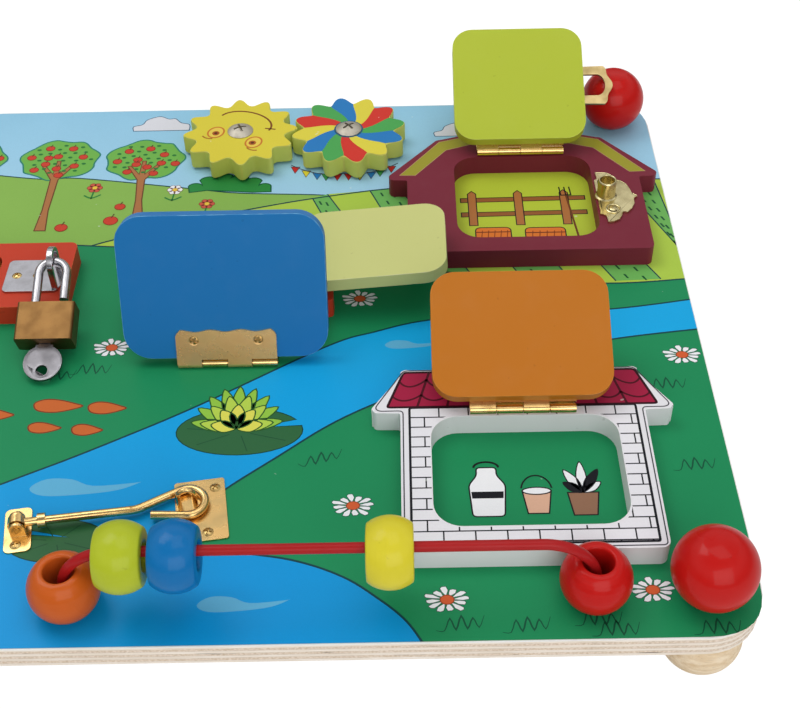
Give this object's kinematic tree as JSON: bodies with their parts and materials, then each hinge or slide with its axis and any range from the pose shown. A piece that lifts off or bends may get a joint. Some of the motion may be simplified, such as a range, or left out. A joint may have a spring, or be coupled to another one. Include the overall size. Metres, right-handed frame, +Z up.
{
  "type": "wooden busy board",
  "caption": "Printed wooden activity board on ball feet with hinged house doors, meshing picture gears, sliding beads on a wire, a cabin hook, a door catch and a small padlock.",
  "frame": {"origin": "middle of the board's footprint, on the surface that the ball feet stand on", "axes": "+X along the board's length to the right, +Y to the back edge with the gears and the barn, +Z up"},
  "size_m": [0.4, 0.3, 0.0914],
  "materials": {
    "printed_plywood": "satin varnish over a printed picture, pale ply edge",
    "red_gloss": "red gloss lacquer on turned wood",
    "natural_wood": "plain sanded wood",
    "maroon_paint": "satin maroon paint",
    "white_print": "printed bricks and tiles on white paint",
    "red_paint": "satin red paint",
    "red_wire": "red coating on steel wire",
    "orange_gloss": "orange gloss lacquer on turned wood",
    "white_plastic": "plain moulded washer",
    "steel": "bright zinc or nickel plating",
    "brass": "bright pressed brass plating",
    "yellow_print": "printed smiling sun on a lime edge",
    "pinwheel_print": "printed petals in four colours",
    "lime_paint": "satin lime paint",
    "orange_paint": "satin orange paint",
    "blue_paint": "satin blue paint",
    "pale_paint": "satin pale yellow-green paint",
    "yellow_paint": "satin yellow paint",
    "lock_brass": "brushed solid brass",
    "lime_gloss": "lime gloss lacquer on turned wood",
    "blue_gloss": "blue gloss lacquer on turned wood",
    "yellow_gloss": "yellow gloss lacquer on turned wood"
  },
  "bodies": {
    "root": {"base_board": "printed_plywood", "corner_balls": "red_gloss", "ball_feet": "natural_wood", "corner_dowels": "natural_wood", "barn_frame": "maroon_paint", "brick_house_frame": "white_print", "red_house_frame": "red_paint", "shed_frame": "red_paint", "bead_wire": "red_wire", "orange_base_bead": "orange_gloss", "red_base_bead": "red_gloss", "gear_washers": "white_plastic", "gear_screws": "steel", "fixed_hinge_leaves": "brass", "hinge_pins": "brass", "fixed_leaf_screws": "brass", "catch_plate": "brass", "catch_rivets": "brass", "hook_plate": "brass", "hook_pin": "brass", "eye_plate": "brass", "hook_screws": "brass", "staple_plate": "steel", "staple": "steel", "staple_screws": "brass"},
    "sun_gear": {"sun_gear": "yellow_print"},
    "pinwheel_gear": {"pinwheel_gear": "pinwheel_print"},
    "barn_door": {"barn_door": "lime_paint", "barn_door_leaf": "brass", "barn_leaf_screws": "brass", "bail_plate": "brass", "bail_rivets": "brass", "bail_pin": "brass"},
    "bail": {"bail": "brass"},
    "brick_house_door": {"brick_house_door": "orange_paint", "brick_door_leaf": "brass", "brick_leaf_screws": "brass"},
    "pond_door": {"pond_door": "blue_paint", "pond_door_leaf": "brass", "pond_leaf_screws": "brass"},
    "red_house_door": {"red_house_door": "pale_paint", "red_door_leaf": "brass", "red_leaf_screws": "brass"},
    "shed_door": {"shed_door": "yellow_paint", "shed_door_leaf": "brass", "shed_leaf_screws": "brass", "strap_leaf": "steel", "strap_leaf_screws": "brass", "strap_pin": "steel"},
    "hasp_strap": {"hasp_strap": "steel"},
    "shackle": {"shackle": "steel"},
    "lock_body": {"lock_body": "lock_brass"},
    "key": {"key": "steel", "lock_plug": "lock_brass"},
    "cabin_hook": {"cabin_hook": "brass"},
    "lime_bead": {"lime_bead": "lime_gloss"},
    "blue_bead": {"blue_bead": "blue_gloss"},
    "yellow_bead": {"yellow_bead": "yellow_gloss"}
  },
  "joints": [
    {"name": "sun_gear_spin", "type": "hinge", "parent": "root", "child": "sun_gear", "pos_m": [0.013, 0.1173, 0.0405], "axis": [0, 0, 1], "continuous": true},
    {"name": "pinwheel_gear_spin", "type": "hinge", "parent": "root", "child": "pinwheel_gear", "pos_m": [0.062, 0.1173, 0.0405], "axis": [0, 0, 1], "continuous": true},
    {"name": "barn_door_hinge", "type": "hinge", "parent": "root", "child": "barn_door", "pos_m": [0.138, 0.0966, 0.0457], "axis": [1, 0, 0], "range_deg": [0, 151]},
    {"name": "bail_swing", "type": "hinge", "parent": "barn_door", "child": "bail", "pos_m": [0.1612, 0.12457, 0.06063], "axis": [0, 0.8746, 0.4848], "range_deg": [-12, 0]},
    {"name": "brick_house_door_hinge", "type": "hinge", "parent": "root", "child": "brick_house_door", "pos_m": [0.1276, -0.0597, 0.0457], "axis": [1, 0, 0], "range_deg": [0, 154]},
    {"name": "pond_door_hinge", "type": "hinge", "parent": "root", "child": "pond_door", "pos_m": [0.0185, -0.0243, 0.0367], "axis": [1, 0, 0], "range_deg": [0, 111.8]},
    {"name": "red_house_door_hinge", "type": "hinge", "parent": "root", "child": "red_house_door", "pos_m": [0.0435, 0.0237, 0.0457], "axis": [0, -1, 0], "range_deg": [0, 175]},
    {"name": "shed_door_hinge", "type": "hinge", "parent": "root", "child": "shed_door", "pos_m": [-0.1376, 0.0212, 0.0457], "axis": [0, -1, 0], "range_deg": [0, 150]},
    {"name": "hasp_strap_hinge", "type": "hinge", "parent": "shed_door", "child": "hasp_strap", "pos_m": [-0.08, 0.0175, 0.0457], "axis": [0, 1, 0], "range_deg": [0, 100]},
    {"name": "padlock_swing", "type": "hinge", "parent": "root", "child": "shackle", "pos_m": [-0.0512, 0.0152, 0.05525], "axis": [-1, 0, 0], "range_deg": [0, 95]},
    {"name": "shackle_lock", "type": "slide", "parent": "shackle", "child": "lock_body", "axis": [0, 0.9367, 0.3502], "range_m": [0, 0.006]},
    {"name": "key_turn", "type": "hinge", "parent": "lock_body", "child": "key", "pos_m": [-0.0512, -0.01852, 0.04264], "axis": [0, 0.9367, 0.3502], "range_deg": [-25, 25]},
    {"name": "cabin_hook_lift", "type": "hinge", "parent": "root", "child": "cabin_hook", "pos_m": [-0.046, -0.1027, 0.0393], "axis": [0.1495, -0.9888, 0], "range_deg": [0, 100]},
    {"name": "lime_bead_slide", "type": "slide", "parent": "root", "child": "lime_bead", "axis": [1, 0, 0], "range_m": [-0.0015, 0.0012]},
    {"name": "blue_bead_slide", "type": "slide", "parent": "root", "child": "blue_bead", "axis": [1, 0, 0], "range_m": [-0.0006, 0.025]},
    {"name": "yellow_bead_slide", "type": "slide", "parent": "root", "child": "yellow_bead", "axis": [1, 0, 0], "range_m": [-0.0255, 0.038]}
  ],
  "couplings": [
    {"joint": "pinwheel_gear_spin", "follows": "sun_gear_spin", "ratio": -1}
  ]
}
